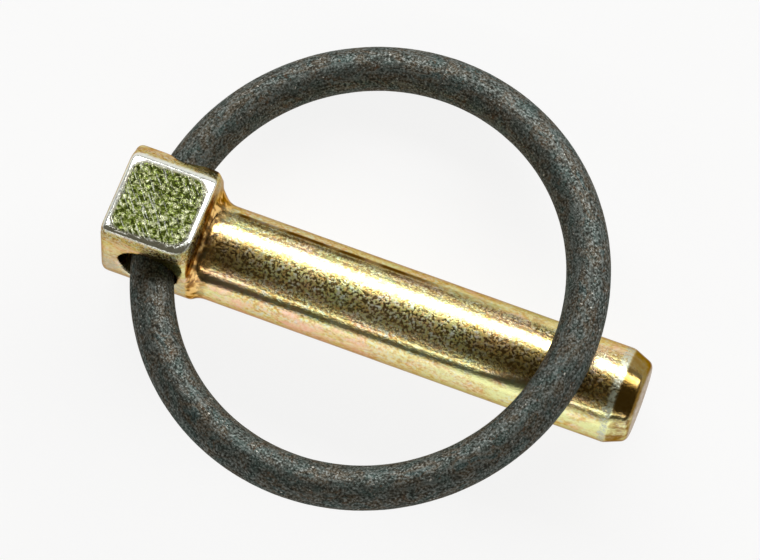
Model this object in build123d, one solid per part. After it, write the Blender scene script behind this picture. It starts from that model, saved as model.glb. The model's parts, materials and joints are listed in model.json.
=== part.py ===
from build123d import *
from math import asin, cos, degrees, radians, sin, sqrt
import os

# Linch pin: a cold-headed pin with a round shank, and a spring ring hinged in its head.
#
# The pin is first built in its own frame, in millimetres. The shank's axis is X, from the head's
# shoulder at X = 0 to the tip. The head's flat front faces +Z, on the side where the ring closes,
# and the cross hole for the ring runs along Y, a few degrees off square. Both pieces are then rolled
# about the shank to the pose in which they lie on a table: the round back of the head and one side
# of the ring touch it.

# Shank
shank_diameter = 9.5
shank_length = 44.4
tip_taper_length = 2.1
tip_taper_drop = 0.85
tip_chamfer = 0.3
neck_radius = 1.6

# Head: a block with a round back and a flat front that stands proud of the shank
head_length = 8.8
head_width = 10.5
head_front = 8.2
front_bevel = 1.8
bevel_blend = 1.4
end_round = 0.6
edge_round = 0.45
corner_round = 2.0
corner_runout_start = 4.4

# Cross hole for the ring
hole_diameter = 6.0
hole_from_shoulder = 3.9
hole_height = 2.95
hole_skew = 8.5

# Ring, bent from round spring wire
wire_diameter = 4.3
ring_radius = 20.85
ring_end_gap = 5.8
ring_slip = 1.1
ring_seat_gap = 0.05

shank_radius = shank_diameter / 2
head_half = head_width / 2
hole_radius = hole_diameter / 2
wire_radius = wire_diameter / 2
skew = radians(hole_skew)

# The roll about the shank is searched for between the hole's skew and this angle, in radians.
steepest_roll = radians(60)
roll_tolerance = 1e-9

# The ring's circle passes through the middle of the hole halfway between wire end and hole mouth.
mouth_depth = sqrt(ring_radius**2 - head_half**2)
end_depth = sqrt(ring_radius**2 - (ring_end_gap / 2) ** 2)
ring_centre_distance = (mouth_depth + end_depth) / 2

# The closed ring lies on the shank: its wire's centreline passes one wire radius above the surface.
side_offset = ring_slip + hole_height * sin(skew)
crossing_reach = ring_centre_distance + sqrt(ring_radius**2 - side_offset**2)
crossing_height = shank_radius + wire_radius + ring_seat_gap
closed_lift = asin((crossing_height - hole_height * cos(skew)) / crossing_reach)
open_lift = asin((crossing_height + hole_height * cos(skew)) / crossing_reach)

hinge_point = Vector(-hole_from_shoulder, 0, hole_height)
hinge_axis = Vector(0, cos(skew), sin(skew))
ring_reach = Vector(cos(closed_lift), -sin(closed_lift) * sin(skew), sin(closed_lift) * cos(skew))
ring_normal = ring_reach.cross(hinge_axis)
ring_centre = hinge_point + hinge_axis * ring_slip + ring_reach * ring_centre_distance


def head_section():
    """The head's cross-section: round back about the shank, straight sides and a bevelled front."""
    back = CenterArc((0, 0), head_half, 180, 180)
    front = Polyline(
        (head_half, 0),
        (head_half, head_front - front_bevel),
        (head_half - front_bevel, head_front),
        (-head_half, head_front),
        (-head_half, 0),
    )
    section = make_face([back, front])
    plain_corner, bevel_corner = section.vertices().sort_by(Axis.Y)[-2:].sort_by(Axis.X)
    section = fillet(plain_corner, edge_round)
    bevel_corner = section.vertices().sort_by(Axis.Y)[-2:].sort_by(Axis.X)[-1]
    return fillet(bevel_corner, bevel_blend)


def section_plane(x):
    """A plane across the pin at x, in which the section's right is +Y and its top is +Z."""
    return Plane(origin=(x, 0, 0), x_dir=(0, 1, 0), z_dir=(1, 0, 0))


def corner_runout(side):
    """A cutter for the front corner over the shoulder: a rounding that fades out towards the back."""
    rise = head_front - corner_runout_start
    size = corner_round * (rise + corner_round) / rise
    flank = side * head_half
    inner = side * (head_half - size)
    spandrel = make_face([
        Polyline((-size, flank), (0, flank), (0, inner)),
        CenterArc((-size, inner), size, 0, side * 90),
    ])
    top = Pos(0, 0, head_front + corner_round) * spandrel
    return loft([top.face(), Vertex(0, flank, corner_runout_start)])


def head():
    """The forged head block, from its end to the shoulder."""
    block = extrude(section_plane(-head_length) * head_section(), head_length)
    end_edges = block.faces().sort_by(Axis.X)[0].edges()
    block = fillet(end_edges, end_round)
    for side in (-1, 1):
        block -= corner_runout(side)
    return block


def shank():
    """The round shank with its tapered tip and the tip's small chamfer."""
    tip_start = shank_length - tip_taper_length
    tip_radius = shank_radius - tip_taper_drop
    outline = Polyline(
        (-head_length / 2, 0),
        (-head_length / 2, shank_radius),
        (tip_start, shank_radius),
        (shank_length, tip_radius),
        (shank_length, 0),
        close=True,
    )
    profile = make_face(outline)
    tip_corner = profile.vertices().sort_by(Axis.X)[-2:].sort_by(Axis.Y)[-1:]
    profile = chamfer(tip_corner, tip_chamfer)
    return revolve(profile, Axis.X, 360)


def neck():
    """The hollow blend from shank to shoulder, trimmed where it would stand past the head's sides."""
    outer = shank_radius + neck_radius
    flare = make_face([
        Polyline((neck_radius, shank_radius), (neck_radius, 0), (0, 0), (0, outer)),
        CenterArc((neck_radius, outer), neck_radius, 180, 90),
    ])
    trim = extrude(section_plane(0) * head_section(), neck_radius)
    return revolve(flare, Axis.X, 360) & trim


def cross_hole():
    """The skewed hole through both sides of the head."""
    across = Plane(origin=hinge_point, z_dir=hinge_axis)
    return across * Cylinder(hole_radius, 2 * head_width)


def ring():
    """The spring ring, a nearly full turn of round wire whose cut ends sit in the cross hole."""
    half_gap = degrees(asin(ring_end_gap / 2 / ring_radius))
    wire = Plane.XZ * Pos(ring_radius, 0) * Circle(wire_radius)
    turn = Rot(Z=half_gap) * revolve(wire, Axis.Z, 360 - 2 * half_gap)
    lying = Plane(origin=ring_centre, x_dir=-ring_reach, z_dir=ring_normal)
    return lying * turn


def ring_clearance(angle):
    """How far the ring's lowest point is above the table when the pin is rolled by this angle."""
    centre_height = ring_centre.Z * cos(angle) - ring_centre.Y * sin(angle)
    upright = ring_normal.Z * cos(angle) - ring_normal.Y * sin(angle)
    lowest = centre_height - ring_radius * sqrt(1 - upright**2) - wire_radius
    return lowest + head_half


def resting_roll():
    """The roll about the shank, in radians, at which the ring's side comes down on the table."""
    low = skew
    high = steepest_roll
    while high - low > roll_tolerance:
        middle = (low + high) / 2
        if ring_clearance(middle) > 0:
            low = middle
        else:
            high = middle
    return middle


pin_part = head() + shank() + neck() - cross_hole()
ring_part = ring()

roll = resting_roll()
lie_down = Rot(X=-degrees(roll))
lying_box = Compound([lie_down * pin_part, lie_down * ring_part]).bounding_box()
to_origin = Pos(-lying_box.center().X, -lying_box.center().Y, head_half) * lie_down

os.makedirs("parts", exist_ok=True)
export_step(to_origin * pin_part, "parts/pin.step")
export_step(to_origin * ring_part, "parts/ring.step")
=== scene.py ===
import json
from math import atan2, pi, radians, sqrt, tan

import bmesh
import bpy
import numpy as np
from mathutils import Euler, Matrix, Vector, noise


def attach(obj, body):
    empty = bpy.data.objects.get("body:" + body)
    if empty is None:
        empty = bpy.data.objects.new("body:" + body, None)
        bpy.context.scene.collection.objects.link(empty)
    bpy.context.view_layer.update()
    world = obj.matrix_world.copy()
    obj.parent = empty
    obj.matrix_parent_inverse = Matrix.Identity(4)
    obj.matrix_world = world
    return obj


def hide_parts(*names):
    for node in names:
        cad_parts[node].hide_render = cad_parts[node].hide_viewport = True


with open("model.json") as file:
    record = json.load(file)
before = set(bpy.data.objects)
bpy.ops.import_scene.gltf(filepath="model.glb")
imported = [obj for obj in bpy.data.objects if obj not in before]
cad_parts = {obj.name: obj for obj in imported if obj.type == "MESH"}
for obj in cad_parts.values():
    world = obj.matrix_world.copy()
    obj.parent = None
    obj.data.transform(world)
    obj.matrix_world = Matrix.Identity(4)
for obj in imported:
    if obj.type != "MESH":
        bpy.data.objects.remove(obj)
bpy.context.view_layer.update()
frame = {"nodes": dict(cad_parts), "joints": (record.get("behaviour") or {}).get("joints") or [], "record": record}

mm = 0.001

# Fine meshing of the two pieces, and the passes that wear their edges round
pin_grain = 0.17 * mm
ring_grain = 0.20 * mm
weld_distance = 0.002 * mm
pin_smoothing = 5
head_edge_smoothing = 14
head_edge_height = 6.6 * mm
head_edge_reach = 0.1 * mm
ring_smoothing = 6

# The pin's sizes
head_length = 8.8 * mm
head_half = 5.25 * mm
head_front = 8.2 * mm
front_bevel = 1.8 * mm
shank_length = 44.4 * mm
tip_taper_length = 2.1 * mm
taper_start = shank_length - tip_taper_length

# Hammer marks all over the pin
hammer_depth = 0.018 * mm
hammer_grain = 2.2 * mm

# The rough field stamped in the head's front, with its margins to the head's end, to the
# shoulder, to the plain side and to the bevel
stamp_depth = 0.06 * mm
stamp_grain = 0.55 * mm
stamp_corner = 1.6 * mm
stamp_fade = 0.35 * mm
stamp_end_margin = 0.5 * mm
stamp_shoulder_margin = 0.45 * mm
stamp_side_margin = 0.3 * mm
stamp_side_rise = 0.45 * mm
stamp_bevel_margin = 0.35 * mm
stamp_front_rise = (head_front - 0.6 * mm, head_front - 0.3 * mm)
rim_front_rise = (head_front - 0.45 * mm, head_front - 0.15 * mm)
stroke_turn = radians(-52)

# The dark lines along the shank are painted reflections of the ring's shadow on the table. Angles
# on the shank are measured from the head's front, towards its bevelled side.
line_angle = radians(35.5)
second_line_angle = radians(27.5)
line_width = radians(5.5)
second_line_share = 0.7
line_break_grain = 2.5 * mm
line_break_stretch = 5 * mm

# Where the plating is rubbed pale: a ragged band before the taper, the tip's end face and the
# head's side
worn_band = 0.7 * mm
worn_band_start = 0.25 * mm
worn_band_end = 0.2 * mm
worn_ragged = 0.5 * mm
worn_ragged_grain = 0.7 * mm
end_wear = 0.7
end_wear_reach = 0.15 * mm
end_wear_rise = (shank_length - 0.12 * mm, shank_length - 0.04 * mm)
side_wear = 0.8
side_wear_rise = (head_half - 0.6 * mm, head_half - 0.2 * mm)
side_wear_fade = (0.8 * mm, 4.2 * mm)

# Bands round the shank in degrees: where each starts, is full, starts to fade and is gone. The
# pink and green casts are on the flank away from the bevel and are measured that way round.
facing_band = (-46, -34, 30, 36)
by_lines_band = (16, 21, 30, 36)
# Painted shade: the band where the shank mirrors the dark room
painted_dark_reflection_band = (-44, -34, -10, 3)
pink_band = (50, 62, 110, 150)
green_band = (40, 55, 110, 150)

# How coarse the grain is on the back and by the painted reflection lines, and how much of it is
# lost where the shank is brightest
back_grain = 0.5
back_grain_rise = (radians(110), radians(130))
by_lines_grain = 0.6
lost_grain = 0.8
lost_grain_rise = (radians(-6), radians(5))

# Where marks rise or fade along the shank, from the shoulder
line_reach = (1.5 * mm, 3 * mm, 15 * mm, 34 * mm)
neck_reach = (-0.1 * mm, 0.25 * mm, 0.5 * mm, 2.4 * mm)
# The shank's painted dark reflection rises past the neck, fades, and comes back towards the tip
painted_dark_reflection_rise = (0.8 * mm, 1.6 * mm)
neck_dark_reflection_fade = (3 * mm, 10 * mm)
tip_dark_reflection_rise = (22 * mm, 33 * mm)
pink_fade = (12 * mm, 26 * mm)
green_rise = (18 * mm, 30 * mm)
taper_rise = (taper_start, taper_start + 0.3 * mm)

# Where marks rise or fade from the shank's axis towards the head's front, and outwards in the
# neck
head_pink = 0.3
head_pink_fade = (1.5 * mm, 4 * mm)
head_green_rise = (2.5 * mm, 4.5 * mm)
neck_fade = (6.3 * mm, 7.5 * mm)

# Unevenness of the ring's wire
wire_dent = 0.022 * mm
wire_dent_grain = 1.6 * mm

# Sizes of the blotches in the plating
cast_grain = 2.4 * mm
tint_grain = 0.36 * mm
mixing_grain = 6 * mm
speckle_grain = 0.25 * mm
spot_grain = 0.55 * mm
stain_grain = 1.1 * mm
break_grain = 1.3 * mm
# Painted shade and painted hot spots in the neck
neck_shade_and_glint_grain = 0.8 * mm
crumb_grain = 0.42 * mm
stroke_grain = 0.16 * mm
patch_grain = 0.34 * mm

# Colours of the plating
zinc_edge = (0.54, 0.40, 0.27)
pit_colour = (0.14, 0.10, 0.02)
stain_colour = (0.50, 0.28, 0.10)
# Painted shade: the shank's dark reflection band
painted_dark_reflection_colour = (0.15, 0.08, 0.015)
pink_tint = (1.0, 0.60, 0.45)
green_tint = (0.84, 0.88, 0.42)
# Painted reflection of the ring's shadow on the table
line_colour = (0.10, 0.05, 0.012)
# Painted shade on the taper, where it mirrors the dark room
taper_shade_colour = (0.20, 0.11, 0.02)
stroke_colour = (0.80, 0.82, 0.74)
worn_colour = (0.56, 0.60, 0.50)
rim_colour = (0.84, 0.87, 0.84)

# How far each layer of the plating covers what is under it
grain_cover = 0.8
pit_cover = 0.8
stain_cover = 0.5
# Painted shade on the shank's dark reflection band
painted_dark_reflection_cover = 0.75
pink_cover = 0.8
# Painted shade and painted hot spots in the neck
neck_shade_and_glint_cover = 0.9
# Painted shade on the taper
taper_shade_cover = 0.85
stroke_cover = 0.8
rim_cover = 0.85

# Shine and relief of the plating
zinc_dullness = 0.11
grain_dullness = 0.36
worn_dullness = 0.4
polish = 0.6
zinc_relief = 0.045 * mm
even_zinc_relief = 0.4
crumb_relief = 0.9 * mm
stroke_relief = 0.05 * mm

# Sizes of the blotches in the wire's black scale
scale_cloud_grain = 1.4 * mm
scale_speckle_grain = 0.20 * mm
streak_grain = 0.35 * mm
fleck_grain = 0.42 * mm
rust_grain = 0.45 * mm
drawn_grain = 0.12 * mm

# Colours, shine and relief of the wire
wire_edge = (0.40, 0.38, 0.34)
pale_scale = (0.25, 0.27, 0.26)
dark_scale = (0.014, 0.013, 0.009)
streak_colour = (0.17, 0.19, 0.18)
fleck_colour = (0.62, 0.60, 0.54)
rust_colour = (0.11, 0.055, 0.025)
wire_dullest = 0.66
wire_shiniest = 0.44
scale_relief = 0.06 * mm
drawn_relief = 0.010 * mm

# Camera: the photograph looks almost straight down on the lying pin
image_width = 760
sensor_width = 36
focal_length_pixels = 5500
camera_distance = 0.52576
camera_aim = Vector((-0.000767, -0.000398, 0.00525))
camera_turn = Euler((radians(-2.818), radians(7.802), radians(19.176)))
nearest_seen = 0.01
farthest_seen = 20

# Studio, with the lights' angles measured round the shank from straight up towards +Y, which is
# the side where the ring touches the table
studio_radius = 1.5
studio_corners = 96
wall_rise = radians(17)
key_angle = radians(61)
key_spread = radians(21)
key_distance = 0.9
key_length = 1.8
key_radiance = 7.0
strip_angle = radians(-47.5)
strip_spread = radians(5)
strip_distance = 0.7
strip_length = 1.1
strip_radiance = 2.6
fill_angle = radians(-75.5)
fill_spread = radians(27)
fill_radiance = 0.66
room_brightness = 0.12
room_colour = (1.0, 0.92, 0.66)
ground_colour = (0.92, 0.92, 0.92)
floor_glow = 0.86
wall_brightness = 0.5


def mount_position(name):
    """The place of one of the record's mounts."""
    mount = next(m for m in frame["record"]["mounts"] if m["name"] == name)
    return Vector(mount["pos_m"])


hinge = next(j for j in frame["joints"] if j["name"] == "ring_hinge")
hinge_point = Vector(hinge["pos_m"])
shank_middle = mount_position("shank")
shoulder = Vector((mount_position("shoulder").x, shank_middle.y, shank_middle.z))
front = Vector((0, hinge_point.y - shoulder.y, hinge_point.z - shoulder.z)).normalized()
side = front.cross(Vector((1, 0, 0)))
roll = atan2(front.y, front.z)


def smooth_step(value, low, high):
    """0 below low, 1 above high and a smooth rise between."""
    share = min(max((value - low) / (high - low), 0), 1)
    return share * share * (3 - 2 * share)


def band(value, start, full, fading, gone):
    """0 outside start and gone, 1 from full to fading, and smooth between."""
    return smooth_step(value, start, full) * (1 - smooth_step(value, fading, gone))


def angle_band(angle, *degrees):
    """A band round the shank, with its four limits in degrees."""
    return band(angle, *(radians(limit) for limit in degrees))


def on_pin(point):
    """A point's place along the shank from the shoulder, across the head and towards its front."""
    offset = point - shoulder
    return offset.x, offset.dot(side), offset.dot(front)


def smooth_mesh(mesh, passes, wanted=None):
    """Evens out a mesh in small steps, all of it or the points for which wanted is true."""
    bm = bmesh.new()
    bm.from_mesh(mesh)
    verts = [v for v in bm.verts if wanted is None or wanted(v.co)]
    for _ in range(passes):
        bmesh.ops.smooth_vert(
            bm, verts=verts, factor=0.5, use_axis_x=True, use_axis_y=True, use_axis_z=True
        )
    bm.to_mesh(mesh)
    bm.free()


def fine_copy(node, name, grain, smoothing):
    """A closely and evenly meshed copy of a solid, with its edges worn round."""
    bm = bmesh.new()
    bm.from_mesh(frame["nodes"][node].data)
    bmesh.ops.remove_doubles(bm, verts=bm.verts, dist=weld_distance)
    mesh = bpy.data.meshes.new(name)
    bm.to_mesh(mesh)
    bm.free()
    piece = bpy.data.objects.new(name, mesh)
    bpy.context.scene.collection.objects.link(piece)
    remesh = piece.modifiers.new("even_grain", "REMESH")
    remesh.mode = "VOXEL"
    remesh.voxel_size = grain
    remesh.adaptivity = 0
    depsgraph = bpy.context.evaluated_depsgraph_get()
    fine = bpy.data.meshes.new_from_object(piece.evaluated_get(depsgraph))
    piece.modifiers.clear()
    piece.data = fine
    smooth_mesh(fine, smoothing)
    fine.shade_smooth()
    return piece


def by_head_edges(point):
    """Whether a point is on the part of the head that the hammer has rounded, clear of the neck."""
    x, across, up = on_pin(point)
    return x < head_edge_reach and up > head_edge_height


def stamped_area(x, across, up):
    """How far a point lies inside the rough stamped field of the head's front, from 0 to 1.

    The field is a rectangle with round corners, and its lower edge rises a little to the shoulder.
    """
    left = -head_length + stamp_end_margin
    right = -stamp_shoulder_margin
    low = -head_half + stamp_side_margin + stamp_side_rise * smooth_step(x, left, right)
    high = head_half - front_bevel - stamp_bevel_margin
    middle_x, middle_across = (left + right) / 2, (low + high) / 2
    out_x = max(abs(x - middle_x) - (right - left) / 2 + stamp_corner, 0)
    out_across = max(abs(across - middle_across) - (high - low) / 2 + stamp_corner, 0)
    outside = sqrt(out_x * out_x + out_across * out_across) - stamp_corner
    return smooth_step(up, *stamp_front_rise) * (1 - smooth_step(outside, -stamp_fade, 0))


def edge_wear(x, across, up):
    """How far the plating is rubbed pale at a point, from 0 to 1.

    It is where the taper starts, on the tip's end face and low on the head's side.
    """
    if x < 0:
        on_side = smooth_step(-across, *side_wear_rise)
        return side_wear * on_side * (1 - smooth_step(up, *side_wear_fade))
    if x > shank_length - end_wear_reach:
        return end_wear * smooth_step(x, *end_wear_rise)
    ragged = worn_ragged * noise.noise(Vector((x, across, up)) / worn_ragged_grain)
    start = taper_start - worn_band + ragged
    return band(x, start, start + worn_band_start, taper_start, taper_start + worn_band_end)


def rim_shine(x, across, up):
    """How bright the head's front is rubbed at a point, from 0 to 1: on the rim round the stamp."""
    return smooth_step(up, *rim_front_rise) * (1 - stamped_area(x, across, up))


def painted_reflection_lines(x, across, up):
    """Painted dark reflections of the ring's shadow along the bar, from 0 to 1, fainter to the tip."""
    around = atan2(across, up)
    main = 1 - smooth_step(abs(around - line_angle), 0.3 * line_width, line_width)
    second = 1 - smooth_step(abs(around - second_line_angle), 0.2 * line_width, 0.8 * line_width)
    place = Vector((x, 0, around * line_break_stretch))
    broken = 0.95 + 0.6 * noise.noise(place / line_break_grain)
    return min(max(main, second_line_share * second) * band(x, *line_reach) * broken, 1)


def grainy_area(x, across, up):
    """How coarse the plating's grain is, from 0 to 1: on the shank's side that faces the ring."""
    around = atan2(across, up)
    facing = angle_band(around, *facing_band)
    left = 1 - lost_grain * smooth_step(around, *lost_grain_rise)
    by_lines = angle_band(around, *by_lines_band)
    back = smooth_step(abs(around), *back_grain_rise)
    return max(facing * left, by_lines_grain * by_lines, back_grain * back)


def painted_dark_reflection(x, across, up):
    """Painted shade, from 0 to 1: the shank's dark reflection band, beside the neck and towards the tip."""
    facing = angle_band(atan2(across, up), *painted_dark_reflection_band)
    ends = 1 - smooth_step(x, *neck_dark_reflection_fade) + smooth_step(x, *tip_dark_reflection_rise)
    return facing * ends * smooth_step(x, *painted_dark_reflection_rise)


def pink_cast(x, across, up):
    """Where the plating has a pink cast, from 0 to 1: on the lower flank, most near the head."""
    flank = angle_band(-atan2(across, up), *pink_band)
    along = 1 - smooth_step(x, *pink_fade)
    if x < 0:
        along = head_pink * (1 - smooth_step(up, *head_pink_fade))
    return flank * along


def green_cast(x, across, up):
    """Where the plating has a yellow-green cast, from 0 to 1: on the head's side and to the tip."""
    flank = angle_band(-atan2(across, up), *green_band)
    along = smooth_step(x, *green_rise)
    if x < 0:
        along = smooth_step(up, *head_green_rise)
    return flank * along


def taper_area(x, across, up):
    """1 on the tip's taper and 0 on the rest of the pin."""
    return smooth_step(x, *taper_rise)


def painted_neck_shade_and_glints(x, across, up):
    """How far a point lies in the neck's corner, from 0 to 1: painted shade and painted hot spots go there."""
    radius = sqrt(across * across + up * up)
    return band(x, *neck_reach) * (1 - smooth_step(radius, *neck_fade))


# What is kept at each point of the pin for its material
pin_marks = {
    "stamped": stamped_area,
    "worn": edge_wear,
    "rim": rim_shine,
    # Painted reflection lines along the shank
    "lines": painted_reflection_lines,
    "grainy": grainy_area,
    # Painted shade on the shank's dark reflection band
    "stains_and_painted_shade": painted_dark_reflection,
    "pink": pink_cast,
    "green": green_cast,
    "taper": taper_area,
    # The neck corner: painted shade and hot spots, and a smoother polish
    "warm": painted_neck_shade_and_glints,
}


def unevenness(point, grain):
    """A smooth field from -1 to 0, so that what it dents never stands past the solid."""
    return (noise.noise(point / grain) - 1) / 2


def make_pin():
    """The plated pin: hammer marks all over, and a rough stamped field on the head's front."""
    piece = fine_copy("pin", "plated_pin", pin_grain, pin_smoothing)
    mesh = piece.data
    smooth_mesh(mesh, head_edge_smoothing, by_head_edges)
    kept = {name: [] for name in pin_marks}
    moved = []
    for vertex in mesh.vertices:
        place = on_pin(vertex.co)
        for name, share_at in pin_marks.items():
            kept[name].append(share_at(*place))
        hammered = hammer_depth * unevenness(vertex.co, hammer_grain)
        relief = noise.turbulence(vertex.co / stamp_grain, 2, True) - 1
        inward = hammered + kept["stamped"][-1] * relief * stamp_depth
        moved.extend(vertex.co + vertex.normal * inward)
    mesh.vertices.foreach_set("co", moved)
    mesh.update()
    for name, shares in kept.items():
        mesh.attributes.new(name, "FLOAT", "POINT").data.foreach_set("value", shares)
    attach(piece, "pin")
    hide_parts("pin")
    return piece


def ring_circle():
    """The circle of the ring's wire, from its solid.

    It gives the centre, two directions in the circle's plane, its normal and its radius.
    """
    points = np.array([v.co for v in frame["nodes"]["ring"].data.vertices])
    middle = points.mean(0)
    right, away, normal = np.linalg.svd(points - middle, full_matrices=False)[2]
    flat = np.stack([(points - middle) @ right, (points - middle) @ away], 1)
    sums = np.column_stack([2 * flat, np.ones(len(flat))])
    solved = np.linalg.lstsq(sums, (flat**2).sum(1), rcond=None)[0]
    centre = middle + solved[0] * right + solved[1] * away
    radius = sqrt(solved[2] + solved[0] ** 2 + solved[1] ** 2)
    return Vector(centre), Vector(right), Vector(away), Vector(normal), radius


def make_ring():
    """The spring ring, its wire slightly uneven, with each vertex's place on the straight wire."""
    piece = fine_copy("ring", "spring_ring", ring_grain, ring_smoothing)
    mesh = piece.data
    centre, right, away, normal, radius = ring_circle()
    straight, moved = [], []
    for vertex in mesh.vertices:
        offset = vertex.co - centre
        in_plane = Vector((offset.dot(right), offset.dot(away)))
        turn = atan2(in_plane.y, in_plane.x)
        straight.extend((turn * radius, in_plane.length - radius, offset.dot(normal)))
        inward = wire_dent * unevenness(vertex.co, wire_dent_grain)
        moved.extend(vertex.co + vertex.normal * inward)
    mesh.vertices.foreach_set("co", moved)
    mesh.update()
    attribute = mesh.attributes.new("straight_wire", "FLOAT_VECTOR", "POINT")
    attribute.data.foreach_set("vector", straight)
    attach(piece, "ring")
    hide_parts("ring")
    return piece


def new_material(name):
    """An empty material, the tree to add nodes to and its shader."""
    material = bpy.data.materials.new(name)
    material.use_nodes = True
    return material, material.node_tree, material.node_tree.nodes["Principled BSDF"]


def object_places(tree):
    """The place on the piece, turned so that the head's front faces Z. The shank lies along X."""
    coordinates = tree.nodes.new("ShaderNodeTexCoord")
    turned = tree.nodes.new("ShaderNodeMapping")
    turned.vector_type = "POINT"
    turned.inputs["Rotation"].default_value = (roll, 0, 0)
    tree.links.new(coordinates.outputs["Object"], turned.inputs["Vector"])
    return turned.outputs["Vector"]


def named_value(tree, name, output):
    """One of the piece's own attributes."""
    attribute = tree.nodes.new("ShaderNodeAttribute")
    attribute.attribute_name = name
    return attribute.outputs[output]


def stretched(tree, places, grain, along, turn):
    """Places scaled so that one unit is a grain, and longer along X by the given factor."""
    mapping = tree.nodes.new("ShaderNodeMapping")
    mapping.vector_type = "TEXTURE"
    mapping.inputs["Scale"].default_value = (grain * along, grain, grain)
    mapping.inputs["Rotation"].default_value = (0, 0, turn)
    tree.links.new(places, mapping.inputs["Vector"])
    return mapping.outputs["Vector"]


def mottle(tree, places, grain, along=1.0, turn=0.0, detail=4.0, warp=0.0, crispness=0.5):
    """A cloudy field with blotches of about this grain. Most of it lies from 0.3 to 0.7."""
    texture = tree.nodes.new("ShaderNodeTexNoise")
    texture.inputs["Scale"].default_value = 1.0
    texture.inputs["Detail"].default_value = detail
    texture.inputs["Distortion"].default_value = warp
    texture.inputs["Roughness"].default_value = crispness
    tree.links.new(stretched(tree, places, grain, along, turn), texture.inputs["Vector"])
    return texture.outputs["Fac"]


def between(tree, field, low, high, start=0.0, end=1.0):
    """The field from low to high as a number from start to end, held outside."""
    node = tree.nodes.new("ShaderNodeMapRange")
    node.inputs["From Min"].default_value = low
    node.inputs["From Max"].default_value = high
    node.inputs["To Min"].default_value = start
    node.inputs["To Max"].default_value = end
    tree.links.new(field, node.inputs["Value"])
    return node.outputs["Result"]


def combined(tree, operation, first, second):
    """Two numbers combined, where the second may be a plain one."""
    node = tree.nodes.new("ShaderNodeMath")
    node.operation = operation
    tree.links.new(first, node.inputs[0])
    if isinstance(second, (int, float)):
        node.inputs[1].default_value = second
    else:
        tree.links.new(second, node.inputs[1])
    return node.outputs["Value"]


def times(tree, first, second):
    """The product of two numbers, where the second may be a plain one."""
    return combined(tree, "MULTIPLY", first, second)


def larger(tree, first, second):
    """The larger of two numbers."""
    return combined(tree, "MAXIMUM", first, second)


def colours(tree, field, stops):
    """A field turned into colours at the given stops."""
    node = tree.nodes.new("ShaderNodeValToRGB")
    elements = node.color_ramp.elements
    while len(elements) < len(stops):
        elements.new(0.5)
    for element, (position, colour) in zip(elements, stops):
        element.position = position
        element.color = (*colour, 1)
    tree.links.new(field, node.inputs["Fac"])
    return node.outputs["Color"]


def blended(tree, share, first, second):
    """The first colour, giving way to the second by the share. The second may be a plain one."""
    node = tree.nodes.new("ShaderNodeMix")
    node.data_type = "RGBA"
    tree.links.new(share, node.inputs["Factor"])
    tree.links.new(first, node.inputs["A"])
    if isinstance(second, tuple):
        node.inputs["B"].default_value = (*second, 1)
    else:
        tree.links.new(second, node.inputs["B"])
    return node.outputs["Result"]


def bumped(tree, shader, height, distance, under=None):
    """Raises the surface by the height field, over another bump where one is given."""
    node = tree.nodes.new("ShaderNodeBump")
    node.inputs["Distance"].default_value = distance
    tree.links.new(height, node.inputs["Height"])
    if under is not None:
        tree.links.new(under, node.inputs["Normal"])
    tree.links.new(node.outputs["Normal"], shader.inputs["Normal"])
    return node.outputs["Normal"]


def broken_marks(tree, places):
    """The pin's marks as numbers from 0 to 1, for its colours.

    The casts are broken up, the wear is patchy, and strokes are scored across the stamped field.
    """
    marks = {name: named_value(tree, name, "Fac") for name in pin_marks}
    breaks = mottle(tree, places, break_grain, along=1.8, detail=6, crispness=0.65)
    broken = between(tree, breaks, 0.42, 0.58, 0.0, 0.85)
    marks["pink"] = times(tree, marks["pink"], broken)
    marks["green"] = times(tree, marks["green"], broken)
    patchy = between(tree, mottle(tree, places, patch_grain), 0.38, 0.54, 0.25, 0.85)
    marks["worn"] = times(tree, marks["worn"], patchy)
    strokes = mottle(tree, places, stroke_grain, along=16, turn=stroke_turn, detail=1)
    marks["scored"] = times(tree, between(tree, strokes, 0.60, 0.66), marks["stamped"])
    return marks


def gold_and_olive(tree, places):
    """The plating's own colours: broad casts along the bar, with finer tints among them."""
    casts = mottle(tree, places, cast_grain, along=2.4, warp=0.6)
    cast_colour = colours(tree, casts, [
        (0.30, (0.60, 0.72, 0.26)),
        (0.42, (0.92, 0.82, 0.42)),
        (0.50, (0.80, 0.60, 0.22)),
        (0.58, (0.98, 0.60, 0.42)),
        (0.70, (0.88, 0.86, 0.52)),
    ])
    tint_colour = colours(tree, mottle(tree, places, tint_grain), [
        (0.38, (0.50, 0.26, 0.05)),
        (0.50, (0.78, 0.72, 0.28)),
        (0.62, (0.66, 0.78, 0.66)),
    ])
    mixing = mottle(tree, places, mixing_grain, detail=1)
    return blended(tree, between(tree, mixing, 0.35, 0.65, 0.3, 0.65), cast_colour, tint_colour)


def coarse_grain(tree, places, colour, speckle, grainy):
    """Adds the coloured grains and the dark pits between them, where the plating is coarse."""
    grain_colour = colours(tree, mottle(tree, places, spot_grain, crispness=0.6), [
        (0.36, (0.58, 0.34, 0.13)),
        (0.45, (0.38, 0.42, 0.12)),
        (0.53, (0.50, 0.54, 0.28)),
        (0.62, (0.58, 0.66, 0.66)),
    ])
    spots = times(tree, between(tree, speckle, 0.505, 0.535), grainy)
    colour = blended(tree, times(tree, spots, grain_cover), colour, grain_colour)
    pits = times(tree, between(tree, speckle, 0.485, 0.445), grainy)
    return blended(tree, times(tree, pits, pit_cover), colour, pit_colour)


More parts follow.
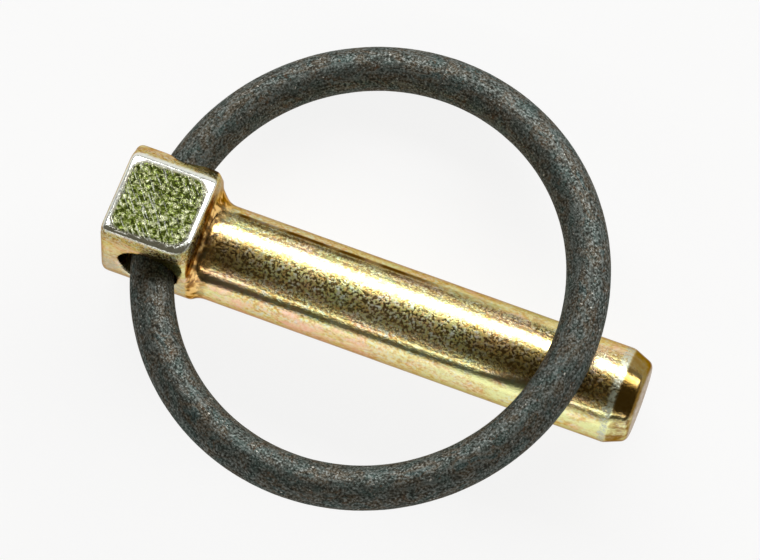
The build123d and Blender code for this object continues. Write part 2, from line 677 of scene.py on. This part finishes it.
def stains_and_casts(tree, places, colour, marks):
    """Adds the brown stains all over, the painted shade on the shank and the pink and green casts."""
    stains = mottle(tree, places, stain_grain, along=1.5, detail=5, warp=2.0)
    stains_and_painted_shade = between(tree, stains, 0.54, 0.64)
    colour = blended(tree, times(tree, stains_and_painted_shade, stain_cover), colour, stain_colour)
    # Painted shade: the shank darkened where it mirrors the dark room
    dark = times(tree, marks["stains_and_painted_shade"], painted_dark_reflection_cover)
    colour = blended(tree, dark, colour, painted_dark_reflection_colour)
    colour = blended(tree, times(tree, marks["pink"], pink_cover), colour, pink_tint)
    return blended(tree, marks["green"], colour, green_tint)


def neck_lines_and_taper(tree, places, colour, marks):
    """Adds painted shade and hot spots in the neck, the painted reflection lines and the painted taper shade."""
    # Painted shade and painted hot spots of reflected light, mottled in the neck corner
    neck_shade_and_glint_colour = colours(tree, mottle(tree, places, neck_shade_and_glint_grain, warp=0.5), [
        (0.42, (0.12, 0.05, 0.01)),
        (0.50, (0.40, 0.18, 0.04)),
        (0.58, (0.95, 0.60, 0.22)),
    ])
    colour = blended(tree, times(tree, marks["warm"], neck_shade_and_glint_cover), colour, neck_shade_and_glint_colour)
    # Painted dark reflection lines along the shank
    colour = blended(tree, marks["lines"], colour, line_colour)
    # Painted shade: the taper darkened, but not its green patch
    painted_taper_shade = combined(tree, "SUBTRACT", marks["taper"], marks["green"])
    return blended(tree, times(tree, painted_taper_shade, taper_shade_cover), colour, taper_shade_colour)


def stamp_and_wear(tree, colour, crumbs, marks):
    """Adds the crumbly olive stamped field with painted shade and glints, its strokes, the pale wear and the
    bright rim.
    """
    # Painted shade in the crumbs' hollows and painted glints on their crests, olive between
    crumb_shade_and_glint_colour = colours(tree, crumbs, [
        (0.40, (0.06, 0.08, 0.012)),
        (0.50, (0.30, 0.38, 0.07)),
        (0.60, (0.80, 0.84, 0.52)),
    ])
    colour = blended(tree, marks["stamped"], colour, crumb_shade_and_glint_colour)
    colour = blended(tree, times(tree, marks["scored"], stroke_cover), colour, stroke_colour)
    colour = blended(tree, marks["worn"], colour, worn_colour)
    return blended(tree, times(tree, marks["rim"], rim_cover), colour, rim_colour)


def yellow_zinc():
    """Glossy yellow zinc plating: gold and olive with pink and green casts, pale where rubbed."""
    material, tree, shader = new_material("yellow_zinc")
    places = object_places(tree)
    marks = broken_marks(tree, places)
    speckle = mottle(tree, places, speckle_grain, along=1.1, detail=5, crispness=0.6)
    crumbs = mottle(tree, places, crumb_grain, warp=0.8)
    shader.inputs["Metallic"].default_value = 1.0
    shader.inputs["Specular Tint"].default_value = (*zinc_edge, 1)

    colour = gold_and_olive(tree, places)
    colour = coarse_grain(tree, places, colour, speckle, marks["grainy"])
    colour = stains_and_casts(tree, places, colour, marks)
    colour = neck_lines_and_taper(tree, places, colour, marks)
    colour = stamp_and_wear(tree, colour, crumbs, marks)
    tree.links.new(colour, shader.inputs["Base Color"])

    smooth = larger(tree, larger(tree, marks["warm"], marks["taper"]), marks["rim"])
    unpolished = combined(tree, "ADD", times(tree, smooth, -polish), 1.0)
    grain = times(tree, between(tree, speckle, 0.495, 0.525, 0, grain_dullness), marks["grainy"])
    dullness = times(tree, combined(tree, "ADD", grain, zinc_dullness), unpolished)
    dullness = larger(tree, dullness, times(tree, marks["worn"], worn_dullness))
    tree.links.new(dullness, shader.inputs["Roughness"])

    rough = combined(tree, "ADD", marks["grainy"], even_zinc_relief)
    evened = times(tree, unpolished, rough)
    skin = bumped(tree, shader, times(tree, speckle, evened), zinc_relief)
    stamp = bumped(tree, shader, times(tree, crumbs, marks["stamped"]), crumb_relief, skin)
    bumped(tree, shader, marks["scored"], -stroke_relief, stamp)
    return material


def black_scale(tree, places, speckle):
    """The wire's colours: grey, teal and brown clouds, with specks, streaks and a little rust."""
    colour = colours(tree, mottle(tree, places, scale_cloud_grain, along=1.6, warp=0.5), [
        (0.34, (0.062, 0.088, 0.080)),
        (0.48, (0.074, 0.080, 0.070)),
        (0.58, (0.098, 0.080, 0.056)),
        (0.68, (0.058, 0.084, 0.080)),
    ])
    streaks = mottle(tree, places, streak_grain, along=9, detail=3)
    flecks = mottle(tree, places, fleck_grain, detail=2)
    rust = mottle(tree, places, rust_grain, detail=3, warp=1.0)
    for field, low, high, strength, tint in (
        (speckle, 0.52, 0.64, 0.65, pale_scale),
        (speckle, 0.48, 0.38, 0.8, dark_scale),
        (streaks, 0.54, 0.66, 0.45, streak_colour),
        (flecks, 0.71, 0.75, 0.8, fleck_colour),
        (rust, 0.62, 0.70, 0.5, rust_colour),
    ):
        share = times(tree, between(tree, field, low, high), strength)
        colour = blended(tree, share, colour, tint)
    return colour


def spring_steel():
    """Heat-treated spring wire: black scale with a soft shine and fine marks along the wire."""
    material, tree, shader = new_material("black_spring_wire")
    places = named_value(tree, "straight_wire", "Vector")
    speckle = mottle(tree, places, scale_speckle_grain, along=1.1, detail=6)
    shader.inputs["Metallic"].default_value = 0.7
    shader.inputs["Specular IOR Level"].default_value = 0.4
    shader.inputs["Specular Tint"].default_value = (*wire_edge, 1)
    tree.links.new(black_scale(tree, places, speckle), shader.inputs["Base Color"])
    dullness = between(tree, speckle, 0.38, 0.66, wire_dullest, wire_shiniest)
    tree.links.new(dullness, shader.inputs["Roughness"])
    skin = bumped(tree, shader, speckle, scale_relief)
    drawn = mottle(tree, places, drawn_grain, along=22, detail=1)
    bumped(tree, shader, between(tree, drawn, 0.60, 0.70), -drawn_relief, skin)
    return material


def seen_directly(tree):
    """1 for what the camera, a reflection or clear glass sees, and 0 for light on the object."""
    path = tree.nodes.new("ShaderNodeLightPath")
    shown = larger(tree, path.outputs["Is Camera Ray"], path.outputs["Is Glossy Ray"])
    return larger(tree, shown, path.outputs["Is Transmission Ray"])


def pale_ground(name, glow, brightness=1.0):
    """A matt white that keeps shadows, and that glows by this share where it is seen."""
    material, tree, shader = new_material(name)
    shader.inputs["Base Color"].default_value = (*ground_colour, 1)
    shader.inputs["Roughness"].default_value = 1.0
    shader.inputs["Specular IOR Level"].default_value = 0.0
    light = tree.nodes.new("ShaderNodeEmission")
    light.inputs["Strength"].default_value = brightness
    mix = tree.nodes.new("ShaderNodeMixShader")
    tree.links.new(times(tree, seen_directly(tree), glow), mix.inputs["Fac"])
    tree.links.new(shader.outputs["BSDF"], mix.inputs[1])
    tree.links.new(light.outputs["Emission"], mix.inputs[2])
    tree.links.new(mix.outputs["Shader"], tree.nodes["Material Output"].inputs["Surface"])
    return material


def make_studio():
    """A round pale floor with a low pale wall."""
    bm = bmesh.new()
    made = bmesh.ops.create_circle(
        bm, cap_ends=True, radius=studio_radius, segments=studio_corners
    )
    rim = list({edge for vertex in made["verts"] for edge in vertex.link_edges})
    raised = bmesh.ops.extrude_edge_only(bm, edges=rim)
    wall = [item for item in raised["geom"] if isinstance(item, bmesh.types.BMVert)]
    bmesh.ops.translate(bm, verts=wall, vec=(0, 0, studio_radius * tan(wall_rise)))
    mesh = bpy.data.meshes.new("studio")
    bm.to_mesh(mesh)
    bm.free()
    mesh.materials.append(pale_ground("pale_floor", floor_glow))
    mesh.materials.append(pale_ground("pale_wall", 1.0, wall_brightness))
    for face in mesh.polygons:
        face.material_index = 0 if abs(face.normal.z) > 0.5 else 1
    studio = bpy.data.objects.new("studio", mesh)
    bpy.context.scene.collection.objects.link(studio)


def soft_light(name, angle, spread, distance, length, radiance):
    """An area lamp along the shank, at this angle round it, as wide as the spread seen from it."""
    lamp = bpy.data.lights.new(name, "AREA")
    lamp.shape = "RECTANGLE"
    lamp.size = length
    lamp.size_y = 2 * distance * tan(spread / 2)
    lamp.energy = radiance * pi * lamp.size * lamp.size_y
    light = bpy.data.objects.new(name, lamp)
    turn = Matrix.Rotation(-angle, 4, "X")
    away = Matrix.Translation((0, 0, distance))
    light.matrix_world = Matrix.Translation(camera_aim) @ turn @ away
    bpy.context.scene.collection.objects.link(light)


def make_room():
    """The dim even light of the room, a little warm."""
    world = bpy.data.worlds.new("room")
    world.use_nodes = True
    background = world.node_tree.nodes["Background"]
    background.inputs["Color"].default_value = (*room_colour, 1)
    background.inputs["Strength"].default_value = room_brightness
    bpy.context.scene.world = world


def make_camera():
    """The photograph's camera: far off, nearly overhead, and turned about its own axis."""
    data = bpy.data.cameras.new("camera")
    data.sensor_width = sensor_width
    data.lens = focal_length_pixels / image_width * sensor_width
    data.clip_start = nearest_seen
    data.clip_end = farthest_seen
    camera = bpy.data.objects.new("camera", data)
    back = Matrix.Translation((0, 0, camera_distance))
    camera.matrix_world = Matrix.Translation(camera_aim) @ camera_turn.to_matrix().to_4x4() @ back
    bpy.context.scene.collection.objects.link(camera)
    bpy.context.scene.camera = camera


make_pin().data.materials.append(yellow_zinc())
make_ring().data.materials.append(spring_steel())
make_studio()
make_room()
soft_light("key", key_angle, key_spread, key_distance, key_length, key_radiance)
soft_light("strip", strip_angle, strip_spread, strip_distance, strip_length, strip_radiance)
soft_light("fill", fill_angle, fill_spread, key_distance, key_length, fill_radiance)
make_camera()
bpy.context.scene.view_settings.view_transform = "Standard"
